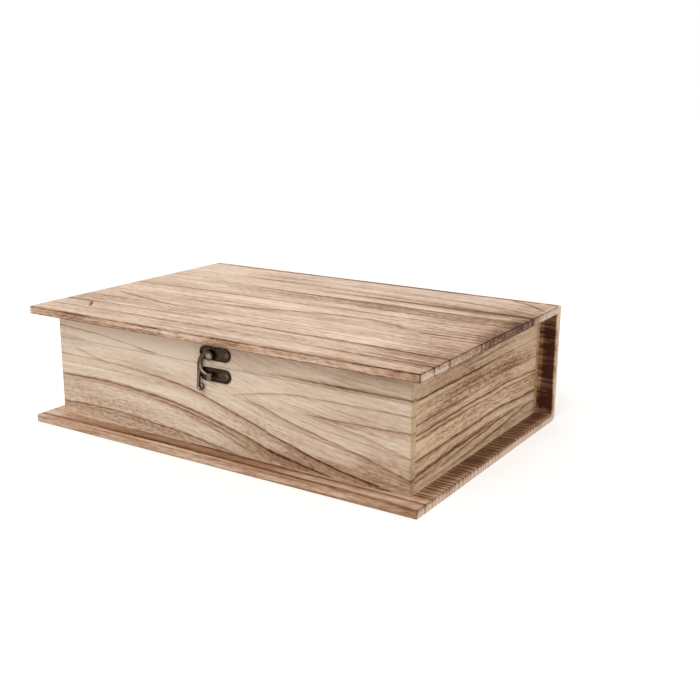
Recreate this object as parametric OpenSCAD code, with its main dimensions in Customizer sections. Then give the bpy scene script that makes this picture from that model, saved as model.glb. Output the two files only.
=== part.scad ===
// Book box: a wooden keepsake box that looks like a closed book.
// The covers and the spine are thin boards round a block of four walls, which stands for the pages.
// One saw cut runs round the block and through the spine, and divides the box into base and lid.
// The lid turns on two butt hinges behind the spine, and a swing hook in front holds it shut.
// X runs along the spine, the clasp faces -Y, the spine faces +Y and Z is up. All sizes are in mm.

/* [Box] */
// Length of the covers, along the spine
box_length = 345; // [260:1:420]
// Depth from the covers' front edge to the back of the spine
box_depth = 235; // [170:1:300]
// Height over both covers
box_height = 95; // [75:1:140]
// Thickness of the two covers
cover_t = 6; // [4:0.5:9]
// Thickness of the spine
spine_t = 6; // [5.5:0.5:9]
// Radius of the spine's lower outer edge
spine_round = 5; // [1:0.5:5.5]
// Radius of the spine's upper outer edge
spine_top_round = 1.5; // [0.5:0.5:4]
// Radius of the covers' front edges
cover_edge_r = 1; // [0.5:0.25:1.75]

/* [Page block] */
// How far the covers reach past the block in front
front_overhang = 17; // [10:0.5:24]
// How far the covers reach past the block at each end
end_overhang = 14; // [6:0.5:22]
// Thickness of the block's walls
wall_t = 6; // [5.5:0.5:9]
// Height of the lid, from the saw cut to the top of the cover
lid_height = 26; // [22:0.5:38]
// Width of the saw cut between base and lid
saw_gap = 0.3; // [0.1:0.05:0.6]

/* [Clasp plates] */
// How far the clasp lies to the right of the box's middle
clasp_x = -0.3; // [-60:0.1:60]
// Length of each plate over its round ends
plate_l = 27.6; // [26:0.2:34]
// Height of each plate
plate_h = 10; // [9.6:0.1:11]
// Thickness of a plate's floor
plate_t = 0.8; // [0.6:0.05:1.1]
// How far a plate's raised edge stands over the floor
plate_rim_h = 0.4; // [0.1:0.05:0.5]
// Width of a plate's raised edge
plate_rim_w = 0.9; // [0.5:0.05:1.2]
// Height of the hook plate's middle over the saw cut
hook_plate_up = 9.2; // [7:0.1:12]
// Depth of the catch plate's middle under the saw cut
catch_plate_down = 6.4; // [6:0.1:9]
// Distance of each plate's screws from its middle
plate_screw_x = 9.4; // [8.8:0.1:9.6]

/* [Swing hook] */
// How far the rivet lies to the left of the hook plate's middle
pivot_left = 3.4; // [2.4:0.1:4]
// How far the rivet lies under the hook plate's middle
pivot_down = 1.2; // [0:0.1:1.5]
// Diameter of the rivet
rivet_d = 2.5; // [2:0.1:3]
// Diameter of the rivet's domed head
rivet_head_d = 5; // [4.4:0.1:6]
// Height of the rivet's domed head
rivet_head_h = 1.3; // [0.8:0.1:1.8]
// Diameter of the raised seat under the hook
seat_d = 7.6; // [6:0.1:7.6]
// How far the raised seat stands over the plate's floor
seat_h = 0.8; // [0.7:0.05:1.2]
// Diameter of the hook's eye
eye_d = 7.2; // [6.5:0.1:8]
// Thickness of the hook
hook_t = 2; // [1.6:0.1:2.6]
// How far the hook's bow reaches to the left of the rivet, to the middle of its stroke
bow_reach = 9.5; // [8.5:0.1:11]
// How far the bow starts over the rivet's middle, to the middle of its stroke
bow_rise = 1.2; // [0.4:0.1:1.8]
// Width of the bow where it leaves the eye
bow_root_w = 3.3; // [2.6:0.1:3.8]
// Width of the bow at its left side
bow_mid_w = 4; // [3:0.1:4.4]
// Radius of the bow's lower bend
bow_low_r = 6; // [5:0.25:6.5]
// Angle at which the bow's lower stroke runs down to the lug
bow_slope = 20; // [12:1:26]
// Width of the hook's tip where it goes under the lug
tip_w = 2.2; // [1.6:0.1:2.4]
// Radius in which the tip turns back to level behind the lug
tip_r = 8; // [6:0.5:9]
// Length of the straight part of the finger tail
tail_l = 17; // [14:0.5:18]
// Width of the finger tail where its scroll begins
tail_w = 2.4; // [1.8:0.1:2.6]
// Width of the finger tail at the inner end of its scroll
scroll_end_w = 1.6; // [1.2:0.1:2]
// Diameter of the scroll at the end of the finger tail
scroll_d = 6.6; // [5.8:0.1:7]

/* [Catch lug] */
// How far the lug's middle lies to the left of the catch plate's middle
lug_left = 2.5; // [1.6:0.1:3]
// Width of the lug
lug_w = 4.6; // [3.6:0.1:5]
// Thickness of the lug's hanging front
lug_t = 1.3; // [1:0.1:1.6]
// Thickness of the lug's root, which the hook's tip goes under
lug_root_t = 1.2; // [1:0.1:1.6]
// Height of the lug's top over the catch plate's middle
lug_up = 1.9; // [1.4:0.1:3]
// Depth of the lug's lower end under the catch plate's middle
lug_down = 3.9; // [2.6:0.1:4.2]
// Radius of the lug's outer shoulder
lug_round = 1.1; // [0.5:0.1:1.2]

/* [Hinges] */
// Distance of each hinge's middle from the middle of the spine
hinge_x = 100; // [50:1:115]
// Length of a hinge
hinge_l = 25; // [20:0.5:32]
// Height of a hinge leaf, from the pin's middle to its free edge
leaf_h = 11; // [9.5:0.5:14]
// Thickness of a hinge leaf
leaf_t = 0.8; // [0.6:0.05:1]
// Diameter of a hinge pin
pin_d = 2; // [1.6:0.1:2.4]
// Thickness of the metal that is rolled round the pin
knuckle_t = 0.8; // [0.6:0.05:1.1]
// Distance of each leaf's screws from the hinge's middle
leaf_screw_x = 7.5; // [5.5:0.5:8]
// How far the hinge pin stands out of its end knuckles
pin_out = 0.5; // [0.2:0.1:1]

/* [Screws] */
// Diameter of the wood screws' shank
screw_d = 1.8; // [1.4:0.1:2.2]
// Diameter of the screws' head
screw_head_d = 3.6; // [3:0.1:3.8]
// How far the screws reach into the wood
screw_in_wood = 4; // [2.5:0.5:4.5]
// Height of the clasp screws' domed head
screw_dome_h = 0.6; // [0.45:0.05:0.65]
// Length of the cross recess in a screw's head
recess_l = 2; // [1.4:0.1:2.2]
// Width of the cross recess
recess_w = 0.5; // [0.3:0.05:0.6]
// Depth of the cross recess
recess_depth = 0.4; // [0.2:0.05:0.4]

/* [Clearances] */
// Gap all round between a pin or rivet and its bore
running_gap = 0.05; // [0.02:0.01:0.08]
// Gap between the hook and what it slides over
slide_gap = 0.15; // [0.1:0.05:0.3]
// Gap between hinge knuckles, and between a knuckle and the spine
knuckle_gap = 0.15; // [0.1:0.05:0.25]
// Gap all round between a screw and its hole
screw_gap = 0.05; // [0.02:0.01:0.1]
// Gap between the hook's tip and the lug over it
tip_gap = 0.25; // [0.15:0.05:0.4]

/* [Hidden] */
$fn = 64;
wood_top = "#dcc0a4";
wood_side = "#cfb08c";
wood_spine = "#c9ab8b";
bronze = "#4a3c30";
bronze_worn = "#6d5c49";
screw_metal = "#5b4d3e";
cut_past = 1;
screw_turn = 20;

// Hinge pin, whose knuckles are the rearmost thing on the box
knuckle_r = pin_d / 2 + running_gap + knuckle_t;
axis_out = knuckle_r + knuckle_gap;

// Lengths of a hinge's three knuckles, and the height of the leaf screws over or under the saw cut
knuckle_l = (hinge_l - 2 * knuckle_gap) / 3;
leaf_screw_z = (leaf_h + knuckle_r) / 2;

// Depths: the origin lies midway between the covers' front edge and the back of the knuckles
front_y = -(box_depth + axis_out + knuckle_r) / 2;
back_y = front_y + box_depth;
spine_in_y = back_y - spine_t;
block_front_y = front_y + front_overhang;
axis_y = back_y + axis_out;

// Heights
saw_z = box_height - lid_height;
base_top_z = saw_z - saw_gap / 2;
lid_bottom_z = saw_z + saw_gap / 2;
cover_under_z = box_height - cover_t;

// Block
block_l = box_length - 2 * end_overhang;
block_depth = spine_in_y - block_front_y;

// Clasp, as depths in front of the block's front face
seat_top = plate_t + seat_h;
hook_back = seat_top + slide_gap;
hook_front = hook_back + hook_t;
lug_in = hook_front + slide_gap;
lug_front = lug_in + lug_t;
hook_plate_z = saw_z + hook_plate_up;
catch_plate_z = saw_z - catch_plate_down;
pivot = [clasp_x - pivot_left, hook_plate_z - pivot_down];
lug_x = clasp_x - lug_left;
lug_top_z = catch_plate_z + lug_up;
lug_root_z = lug_top_z - lug_root_t;
lug_end_z = catch_plate_z - lug_down;
lug_end_round = lug_round / 2;

// Hook's outline in the plane of the front face, as [x, z]: the bow's upper quarter has the radius
// that brings its lower stroke right under the lug's corner
under_lug = [lug_x - lug_w / 2, lug_root_z - tip_gap - tip_w / 2 / cos(bow_slope)];
bow_left = pivot[0] - bow_reach;
slope_x = bow_left + bow_low_r * (1 - sin(bow_slope));
slope_l = (under_lug[0] - slope_x) / cos(bow_slope);
bow_top = pivot[1] + bow_rise;
bow_r = bow_top - under_lug[1] - bow_low_r * cos(bow_slope) - slope_l * sin(bow_slope);
bow_mid = [bow_left + bow_r, bow_top - bow_r];
bow_low_mid = [bow_left + bow_low_r, bow_mid[1]];
tip_mid = under_lug + tip_r * [sin(bow_slope), cos(bow_slope)];
bow_low_w = (bow_mid_w + tip_w) / 2;

// Angles in degrees: the last station of the bow's upper arc, where the tail leaves it, and how far
// the scroll turns
bow_last = 175;
tail_leaves_at = 174;
scroll_turn = 250;

// Numbers of steps along each arc
bow_steps = 14;
tip_steps = 4;
scroll_steps = 24;

// Shares: stations that round the tip off, as [distance, width] in tip widths, the part of the tail
// over which it gets narrower, and the thickness of the floor in the scroll
tip_ends = [[0.25, 0.8], [0.4, 0.4]];
tail_taper = 0.6;
scroll_floor = 0.5;

// A point at distance r from c, in the direction a
function polar(c, r, a) = c + r * [cos(a), sin(a)];

// Stations of an arc that turns from angle a0 to a1 while its width goes from w0 to w1.
// A station is [point, heading, width].
function arc_stations(c, r, a0, a1, w0, w1, steps) = [for (i = [0:steps])
    let (share = i / steps, a = a0 + (a1 - a0) * share)
    [polar(c, r, a), a + 90, w0 + (w1 - w0) * share]];

tip_end = [tip_mid[0], tip_mid[1] - tip_r];
bow_stations = concat(
    [[[pivot[0], bow_top], 180, bow_root_w]],
    arc_stations(bow_mid, bow_r, 90, bow_last, bow_root_w, bow_mid_w, bow_steps),
    arc_stations(bow_low_mid, bow_low_r, 180, 270 - bow_slope, bow_mid_w, bow_low_w, bow_steps),
    arc_stations(tip_mid, tip_r, 270 - bow_slope, 270, tip_w, tip_w, tip_steps),
    [for (end = tip_ends) [tip_end + [tip_w * end[0], 0], 360, tip_w * end[1]]]
);

// The tail leaves the bow in a straight line and rolls up into a scroll
tail_start = polar(bow_mid, bow_r, tail_leaves_at);
tail_heading = tail_leaves_at + 90;
scroll_r = (scroll_d - tail_w) / 2;
scroll_mid = polar(polar(tail_start, tail_l, tail_heading), scroll_r, tail_leaves_at + 180);
tail_stations = concat(
    [for (share = [0, tail_taper / 2, tail_taper])
        [polar(tail_start, tail_l * share, tail_heading), tail_heading,
            bow_mid_w + (tail_w - bow_mid_w) * share / tail_taper]],
    arc_stations(scroll_mid, scroll_r, tail_leaves_at, tail_leaves_at + scroll_turn,
        tail_w, scroll_end_w, scroll_steps)
);

// Section of a stroke: flat behind, straight low sides and a crowned front with a point every
// crown_turn degrees, as [share of the half width, share of the thickness]
stroke_side = 0.45;
stroke_back = 0.8;
crown_turn = 15;
stroke_section = concat(
    [[stroke_back, 0]],
    [for (a = [0:crown_turn:180]) [cos(a), stroke_side + (1 - stroke_side) * sin(a)]],
    [[-stroke_back, 0]]
);

// Ring of points at one station, in the box's frame
function stroke_ring(station) = [for (s = stroke_section)
    let (p = polar(station[0], s[0] * station[2] / 2, station[1] - 90))
    [p[0], block_front_y - hook_back - s[1] * hook_t, p[1]]];

// Solid stroke through a list of stations
module stroke(stations) {
    n = len(stroke_section);
    last = len(stations) - 1;
    skin = [for (i = [0:last - 1]) for (j = [0:n - 1]) let (k = (j + 1) % n)
        each [[i * n + j, i * n + k, (i + 1) * n + j], [i * n + k, (i + 1) * n + k, (i + 1) * n + j]]];
    start_cap = [for (j = [1:n - 2]) [0, j + 1, j]];
    end_cap = [for (j = [1:n - 2]) [last * n, last * n + j, last * n + j + 1]];
    polyhedron(
        points = [for (s = stations) each stroke_ring(s)],
        faces = concat(skin, start_cap, end_cap)
    );
}

// Board from its lowest corner, with X and Y as sizes
module board(x, y, z, l, d, h) {
    translate([x, y, z]) cube([l, d, h]);
}

// What a round of radius r takes off a corner at the origin, from a shape that lies at +x and +y
module corner_round(r) {
    difference() {
        translate([-cut_past, -cut_past]) square(r + cut_past);
        translate([r, r]) circle(r);
    }
}

// Extrudes a [y, z] profile over the covers' whole length
module along_box() {
    translate([-box_length / 2, 0, 0])
        rotate([90, 0, 90])
            linear_extrude(box_length) children();
}

// Cover whose front edges are rounded, from height z
module cover(z) {
    along_box() difference() {
        translate([front_y, z]) square([spine_in_y - front_y, cover_t]);
        translate([front_y, z]) corner_round(cover_edge_r);
        translate([front_y, z + cover_t]) mirror([0, 1]) corner_round(cover_edge_r);
    }
}

// Places children at both screws of a clasp plate whose middle is at height z
module at_plate_screws(z) {
    for (side = [-1, 1])
        translate([clasp_x + side * plate_screw_x, block_front_y, z])
            rotate([90, 0, 0]) children();
}

// Places children at both screws of a leaf, dir = 1 for the upper and -1 for the lower one
module at_leaf_screws(x, dir) {
    for (side = [-1, 1])
        translate([x + side * leaf_screw_x, back_y + leaf_t, saw_z + dir * leaf_screw_z])
            rotate([-90, 0, 0]) children();
}

// Hole for a leaf's screw: the shank's bore, from the leaf's face into the wood
module leaf_screw_bore() {
    depth = leaf_t + screw_in_wood + screw_gap;
    translate([0, 0, -depth]) cylinder(h = depth + cut_past, r = screw_d / 2 + screw_gap);
}

// Hole for a plate's screw, from the block's face into the wood and out through the plate
module plate_screw_bore() {
    depth = screw_in_wood + screw_gap;
    translate([0, 0, -depth]) cylinder(h = depth + seat_top, r = screw_d / 2 + screw_gap);
}

// Hole for the rivet, from the block's face into the wood and out through the plate
module rivet_bore() {
    depth = screw_in_wood + screw_gap;
    translate([pivot[0], block_front_y, pivot[1]]) rotate([90, 0, 0]) translate([0, 0, -depth])
        cylinder(h = depth + seat_top + cut_past, r = rivet_d / 2 + running_gap);
}

// Dome of height h on a circle of diameter d, as a cap of a sphere
module dome(d, h) {
    ball_r = (pow(d / 2, 2) + pow(h, 2)) / (2 * h);
    rotate_extrude() intersection() {
        square([d / 2, h]);
        translate([0, h - ball_r]) circle(ball_r, $fn = 128);
    }
}

// Cross recess in a screw's head, below the height z
module cross_recess(z) {
    for (turn = [0, 90])
        rotate([0, 0, screw_turn + turn])
            translate([-recess_l / 2, -recess_w / 2, z - recess_depth])
                cube([recess_l, recess_w, recess_depth + cut_past]);
}

// Domed wood screw, with the underside of its head at the plate's floor
module plate_screw() {
    difference() {
        union() {
            translate([0, 0, plate_t]) dome(screw_head_d, screw_dome_h);
            translate([0, 0, -screw_in_wood]) cylinder(h = screw_in_wood + plate_t, r = screw_d / 2);
        }
        cross_recess(plate_t + screw_dome_h);
    }
}

// Countersunk wood screw, with its head flush with the leaf's face at z = 0
module leaf_screw() {
    difference() {
        union() {
            translate([0, 0, -leaf_t]) cylinder(h = leaf_t, r1 = screw_d / 2, r2 = screw_head_d / 2);
            translate([0, 0, -leaf_t - screw_in_wood]) cylinder(h = screw_in_wood, r = screw_d / 2);
        }
        cross_recess(0);
    }
}

// Plate outline with round ends, drawn inside by inset
module plate_outline(inset) {
    straight = plate_l - plate_h;
    r = plate_h / 2 - inset;
    translate([-straight / 2, -r]) square([straight, 2 * r]);
    for (side = [-1, 1])
        translate([side * straight / 2, 0]) circle(r);
}

// Clasp plate with a raised edge and two screw holes, with its middle at height z
module clasp_plate(z) {
    difference() {
        translate([clasp_x, block_front_y, z]) rotate([90, 0, 0]) difference() {
            linear_extrude(plate_t + plate_rim_h) plate_outline(0);
            translate([0, 0, plate_t]) linear_extrude(plate_rim_h + cut_past) plate_outline(plate_rim_w);
        }
        at_plate_screws(z) plate_screw_bore();
    }
}

// Left end of a hinge's knuckle i, from the hinge's middle
function knuckle_x(i) = -hinge_l / 2 + i * (knuckle_l + knuckle_gap);

// Hinge leaf with rolled knuckles, dir = 1 for the upper and -1 for the lower one
module hinge_leaf(x, dir, knuckles) {
    clear = knuckle_r + knuckle_gap;
    difference() {
        translate([x, 0, 0]) union() {
            translate([-hinge_l / 2, back_y, dir > 0 ? saw_z + clear : saw_z - leaf_h])
                cube([hinge_l, leaf_t, leaf_h - clear]);
            for (i = knuckles) {
                translate([knuckle_x(i), back_y, dir > 0 ? saw_z : saw_z - clear])
                    cube([knuckle_l, leaf_t, clear]);
                translate([knuckle_x(i), axis_y, saw_z]) rotate([0, 90, 0])
                    cylinder(h = knuckle_l, r = knuckle_r);
            }
        }
        translate([x - hinge_l / 2 - cut_past, axis_y, saw_z]) rotate([0, 90, 0])
            cylinder(h = hinge_l + 2 * cut_past, r = pin_d / 2 + running_gap);
        at_leaf_screws(x, dir) {
            leaf_screw_bore();
            translate([0, 0, -leaf_t])
                cylinder(h = leaf_t, r1 = screw_d / 2 + screw_gap, r2 = screw_head_d / 2 + screw_gap);
        }
    }
}

// Hinge pin with a small dome at each end
module hinge_pin(x) {
    straight = hinge_l + 2 * knuckle_gap;
    translate([x, axis_y, saw_z]) rotate([0, 90, 0]) {
        translate([0, 0, -straight / 2]) cylinder(h = straight, r = pin_d / 2);
        translate([0, 0, straight / 2]) dome(pin_d, pin_out);
        translate([0, 0, -straight / 2]) mirror([0, 0, 1]) dome(pin_d, pin_out);
    }
}

// Wall or rim across the whole block, with its outer face at y
module cross_wall(y, z0, z1) {
    board(-block_l / 2, y, z0, block_l, wall_t, z1 - z0);
}

// Wall or rim at one end of the block, between the front and rear ones
module end_wall(side, z0, z1) {
    x = side > 0 ? block_l / 2 - wall_t : -block_l / 2;
    board(x, block_front_y + wall_t, z0, wall_t, block_depth - 2 * wall_t, z1 - z0);
}

module bottom_cover() {
    color(wood_top) cover(0);
}

module front_wall() {
    color(wood_side) difference() {
        cross_wall(block_front_y, cover_t, base_top_z);
        at_plate_screws(catch_plate_z) plate_screw_bore();
    }
}

module rear_wall() {
    color(wood_side) cross_wall(spine_in_y - wall_t, cover_t, base_top_z);
}

module left_wall() {
    color(wood_side) end_wall(-1, cover_t, base_top_z);
}

module right_wall() {
    color(wood_side) end_wall(1, cover_t, base_top_z);
}

module spine_lower() {
    color(wood_spine) difference() {
        along_box() difference() {
            translate([spine_in_y, 0]) square([spine_t, base_top_z]);
            translate([back_y, 0]) mirror([1, 0]) corner_round(spine_round);
        }
        for (side = [-1, 1])
            at_leaf_screws(side * hinge_x, -1) leaf_screw_bore();
    }
}

// Catch plate with the lug that stands out of it and turns down in front of the hook's tip
module catch_plate() {
    color(bronze) {
        clasp_plate(catch_plate_z);
        translate([lug_x - lug_w / 2, block_front_y, 0])
            rotate([90, 0, 90])
                mirror([1, 0])
                    linear_extrude(lug_w) difference() {
                        union() {
                            translate([plate_t, lug_root_z])
                                square([lug_front - plate_t, lug_root_t]);
                            translate([lug_in, lug_end_z]) square([lug_t, lug_top_z - lug_end_z]);
                        }
                        translate([lug_front, lug_top_z]) rotate(180) corner_round(lug_round);
                        translate([lug_front, lug_end_z]) mirror([1, 0]) corner_round(lug_end_round);
                    }
    }
}

module catch_screws() {
    color(screw_metal) at_plate_screws(catch_plate_z) plate_screw();
}

module hinge_leaf_lower_left() {
    color(bronze) hinge_leaf(-hinge_x, -1, [0, 2]);
}

module hinge_leaf_lower_right() {
    color(bronze) hinge_leaf(hinge_x, -1, [0, 2]);
}

module hinge_pin_left() {
    color(bronze_worn) hinge_pin(-hinge_x);
}

module hinge_pin_right() {
    color(bronze_worn) hinge_pin(hinge_x);
}

module hinge_screws_lower() {
    color(screw_metal) for (side = [-1, 1])
        at_leaf_screws(side * hinge_x, -1) leaf_screw();
}

module top_cover() {
    color(wood_top) cover(cover_under_z);
}

module front_rim() {
    color(wood_side) difference() {
        cross_wall(block_front_y, lid_bottom_z, cover_under_z);
        at_plate_screws(hook_plate_z) plate_screw_bore();
        rivet_bore();
    }
}

module rear_rim() {
    color(wood_side) cross_wall(spine_in_y - wall_t, lid_bottom_z, cover_under_z);
}

module left_rim() {
    color(wood_side) end_wall(-1, lid_bottom_z, cover_under_z);
}

module right_rim() {
    color(wood_side) end_wall(1, lid_bottom_z, cover_under_z);
}

module spine_upper() {
    color(wood_spine) difference() {
        along_box() difference() {
            translate([spine_in_y, lid_bottom_z]) square([spine_t, box_height - lid_bottom_z]);
            translate([back_y, box_height]) rotate(180) corner_round(spine_top_round);
        }
        for (side = [-1, 1])
            at_leaf_screws(side * hinge_x, 1) leaf_screw_bore();
    }
}

// Hook plate with the raised round seat that the hook turns on
module hook_plate() {
    color(bronze) difference() {
        union() {
            clasp_plate(hook_plate_z);
            translate([pivot[0], block_front_y - plate_t / 2, pivot[1]]) rotate([90, 0, 0])
                cylinder(h = seat_top - plate_t / 2, r = seat_d / 2);
        }
        rivet_bore();
    }
}

module hook_plate_screws() {
    color(screw_metal) at_plate_screws(hook_plate_z) plate_screw();
}

// Rivet through the hook's eye and the plate, with a domed head
module hook_rivet() {
    color(bronze_worn) translate([pivot[0], block_front_y, pivot[1]]) rotate([90, 0, 0]) {
        shank_top = hook_front + slide_gap;
        translate([0, 0, -screw_in_wood]) cylinder(h = screw_in_wood + shank_top, r = rivet_d / 2);
        translate([0, 0, shank_top]) dome(rivet_head_d, rivet_head_h);
    }
}

module hinge_leaf_upper_left() {
    color(bronze) hinge_leaf(-hinge_x, 1, [1]);
}

module hinge_leaf_upper_right() {
    color(bronze) hinge_leaf(hinge_x, 1, [1]);
}

module hinge_screws_upper() {
    color(screw_metal) for (side = [-1, 1])
        at_leaf_screws(side * hinge_x, 1) leaf_screw();
}

// Swing hook in one casting: eye, bow with the tip that goes under the lug, and finger tail
module swing_hook() {
    color(bronze) difference() {
        union() {
            translate([pivot[0], block_front_y - hook_back, pivot[1]]) rotate([90, 0, 0])
                cylinder(h = hook_t, r = eye_d / 2);
            stroke(bow_stations);
            stroke(tail_stations);
            translate([scroll_mid[0], block_front_y - hook_back, scroll_mid[1]]) rotate([90, 0, 0])
                cylinder(h = hook_t * scroll_floor, r = scroll_r);
        }
        translate([pivot[0], block_front_y - hook_back + cut_past, pivot[1]]) rotate([90, 0, 0])
            cylinder(h = hook_t + 2 * cut_past, r = rivet_d / 2 + running_gap);
    }
}

bottom_cover();
front_wall();
rear_wall();
left_wall();
right_wall();
spine_lower();
catch_plate();
catch_screws();
hinge_leaf_lower_left();
hinge_leaf_lower_right();
hinge_pin_left();
hinge_pin_right();
hinge_screws_lower();
top_cover();
front_rim();
rear_rim();
left_rim();
right_rim();
spine_upper();
hook_plate();
hook_plate_screws();
hook_rivet();
hinge_leaf_upper_left();
hinge_leaf_upper_right();
hinge_screws_upper();
swing_hook();
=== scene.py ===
# %% [markdown]
# # A wooden book box with an antique bronze swing hook
#
# The object is a keepsake box that looks like a closed book. Thin boards of burnt and brushed
# paulownia make the covers and the spine, and four walls between them stand for the pages. One saw
# cut divides the walls and the spine into a base and a lid. The CAD model already holds every
# piece at its real size, so this scene gives the pieces their finish: wood whose growth lines run
# where the real ones run, and dark bronze that is rubbed bright on its edges.

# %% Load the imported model
import math

import bpy
from mathutils import Matrix, Vector


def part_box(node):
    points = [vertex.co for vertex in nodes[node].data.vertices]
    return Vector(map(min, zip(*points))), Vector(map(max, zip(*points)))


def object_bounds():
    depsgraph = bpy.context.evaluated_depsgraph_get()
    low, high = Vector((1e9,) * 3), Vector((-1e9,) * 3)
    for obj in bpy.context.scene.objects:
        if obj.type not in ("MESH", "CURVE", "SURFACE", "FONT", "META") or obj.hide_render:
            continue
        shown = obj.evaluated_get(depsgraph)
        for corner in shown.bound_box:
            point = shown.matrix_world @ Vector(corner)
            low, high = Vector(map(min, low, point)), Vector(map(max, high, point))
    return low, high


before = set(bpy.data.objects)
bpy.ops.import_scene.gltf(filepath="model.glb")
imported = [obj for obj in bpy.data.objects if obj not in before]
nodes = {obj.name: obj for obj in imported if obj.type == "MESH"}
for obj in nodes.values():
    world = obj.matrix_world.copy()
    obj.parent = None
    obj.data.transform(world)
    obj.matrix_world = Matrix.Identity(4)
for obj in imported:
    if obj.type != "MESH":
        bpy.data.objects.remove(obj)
cad_low, cad_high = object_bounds()
MM = 0.001
print("CAD box in mm:", [round(size / MM, 1) for size in cad_high - cad_low])

# %% [markdown]
# ## Camera
#
# The corners of the box in the photograph and its three sizes fix the camera: where it stands, how
# far it looks down, and its focal length in pixels. Blender's lens is that focal length as a share
# of the picture's width, times the sensor's width. The picture's middle lies a little beside the
# lens axis, and a small horizontal shift repeats that.

# %% Camera
PICTURE_PX = 700
FOCAL_PX = 1021.9
AXIS_PX = 329
CAMERA_PLACE = Vector((449.1, -645.1, 267.4)) * MM
AZIMUTH = math.radians(33.07)
LOOK_DOWN = math.radians(14.89)
ROLL = math.radians(0.17)

backward = Vector((math.sin(AZIMUTH) * math.cos(LOOK_DOWN),
                   -math.cos(AZIMUTH) * math.cos(LOOK_DOWN),
                   math.sin(LOOK_DOWN)))
level = Vector((math.cos(AZIMUTH), math.sin(AZIMUTH), 0))
upright = Matrix((level, backward.cross(level), backward)).transposed()
turn = upright @ Matrix.Rotation(ROLL, 3, "Z")

camera_data = bpy.data.cameras.new("camera")
camera_data.lens = camera_data.sensor_width * FOCAL_PX / PICTURE_PX
camera_data.shift_x = (PICTURE_PX / 2 - AXIS_PX) / PICTURE_PX
camera = bpy.data.objects.new("camera", camera_data)
camera.matrix_world = Matrix.Translation(CAMERA_PLACE) @ turn.to_4x4()
bpy.context.scene.collection.objects.link(camera)
bpy.context.scene.camera = camera
print("lens in mm:", round(camera_data.lens, 2), "shift:", round(camera_data.shift_x, 3))

# %% [markdown]
# ## Helpers for colours, nodes and materials
#
# A hex colour is what a colour picker shows, and shaders want linear light, so one function turns
# the first into the second. Another function adds any node with its settings and links, so that a
# material reads as a short list of what feeds what. The last one starts an empty material.

# %% Colours
def linear(hex_colour):
    """sRGB hex such as "#c9a27a" as a linear colour with alpha, by the sRGB curve."""
    parts = [int(hex_colour[i:i + 2], 16) / 255 for i in (1, 3, 5)]
    return [c / 12.92 if c <= 0.04045 else ((c + 0.055) / 1.055) ** 2.4 for c in parts] + [1.0]


print("mid grey in linear light:", round(linear("#808080")[0], 3))

# %% Nodes and materials
MATH, VECTOR, RANGE = "ShaderNodeMath", "ShaderNodeVectorMath", "ShaderNodeMapRange"
MIX, GROUP, CURVE = "ShaderNodeMix", "ShaderNodeGroup", "ShaderNodeFloatCurve"
# A Mix node keeps its two colours in these inputs, and the mixed one in this output
COLOUR_A, COLOUR_B, MIXED = 6, 7, 2


def add(tree, kind, inputs=(), **settings):
    """Adds a node. inputs is a list in the sockets' order, or a dict by their names or numbers.
    Each entry is a value, a socket, or a node, whose first output is then used."""
    node = tree.nodes.new(kind)
    for name, value in settings.items():
        setattr(node, name, value)
    for socket, value in inputs.items() if isinstance(inputs, dict) else enumerate(inputs):
        source = value.outputs[0] if isinstance(value, bpy.types.Node) else value
        if isinstance(source, bpy.types.NodeSocket):
            tree.links.new(source, node.inputs[socket])
        else:
            node.inputs[socket].default_value = source
    return node


def new_material(name):
    """An empty material and its node tree."""
    material = bpy.data.materials.new(name)
    material.use_nodes = True
    material.node_tree.nodes.clear()
    return material, material.node_tree


print("node kinds with short names:", MATH, VECTOR, RANGE, MIX, GROUP, CURVE)

# %% [markdown]
# ## Light and floor
#
# The photograph is a catalogue picture: soft light from above the front, on pure white. A pale
# world fills all sides, and one very wide sun stands high over the front and to the camera's left,
# so the top gets more light than the front, and the front more than the right side. Lamps near the
# box could do that too, but their light falls off, and the floor would show it. A world and a sun
# have the same strength everywhere. Where the camera sees the floor, straight or mirrored in the
# metal, it adds a little of its own light, which lifts it to white and keeps the box's soft shadow.

# %% World
WORLD_LIGHT = 0.63


def seen_directly(tree):
    """1 for rays from the camera, and for the reflections and refractions that it sees."""
    path = add(tree, "ShaderNodeLightPath")
    mirrored = add(tree, MATH, [path.outputs["Is Glossy Ray"], path.outputs["Is Transmission Ray"]],
                   operation="MAXIMUM")
    return add(tree, MATH, [path.outputs["Is Camera Ray"], mirrored], operation="MAXIMUM")


world = bpy.data.worlds.new("white_studio")
bpy.context.scene.world = world
world.use_nodes = True
strength = add(world.node_tree, RANGE, {
    "Value": seen_directly(world.node_tree), "To Min": WORLD_LIGHT, "To Max": 1.0})
background = world.node_tree.nodes["Background"]
background.inputs["Color"].default_value = (1, 1, 1, 1)
world.node_tree.links.new(strength.outputs[0], background.inputs["Strength"])
print("strength of the world's light:", WORLD_LIGHT)

# %% Sun
SUN_LIGHT = 1.64
SUN_FROM = Vector((0.12, -0.74, 0.82))
SUN_WIDTH = math.radians(50)

sun_data = bpy.data.lights.new("wide_sun", "SUN")
sun_data.energy = SUN_LIGHT
sun_data.angle = SUN_WIDTH
sun = bpy.data.objects.new("wide_sun", sun_data)
sun.rotation_mode = "QUATERNION"
sun.rotation_quaternion = SUN_FROM.to_track_quat("Z", "Y")
bpy.context.scene.collection.objects.link(sun)
off_zenith = SUN_FROM.angle(Vector((0, 0, 1)))
print("the sun stands", round(math.degrees(off_zenith)), "degrees off the zenith")

# %% Floor
FLOOR_GREY = "#d8d6d3"
FLOOR_GLOW = 0.42
FLOOR_HALF = 6.0
CORNERS = ((-1, -1), (1, -1), (1, 1), (-1, 1))

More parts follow.
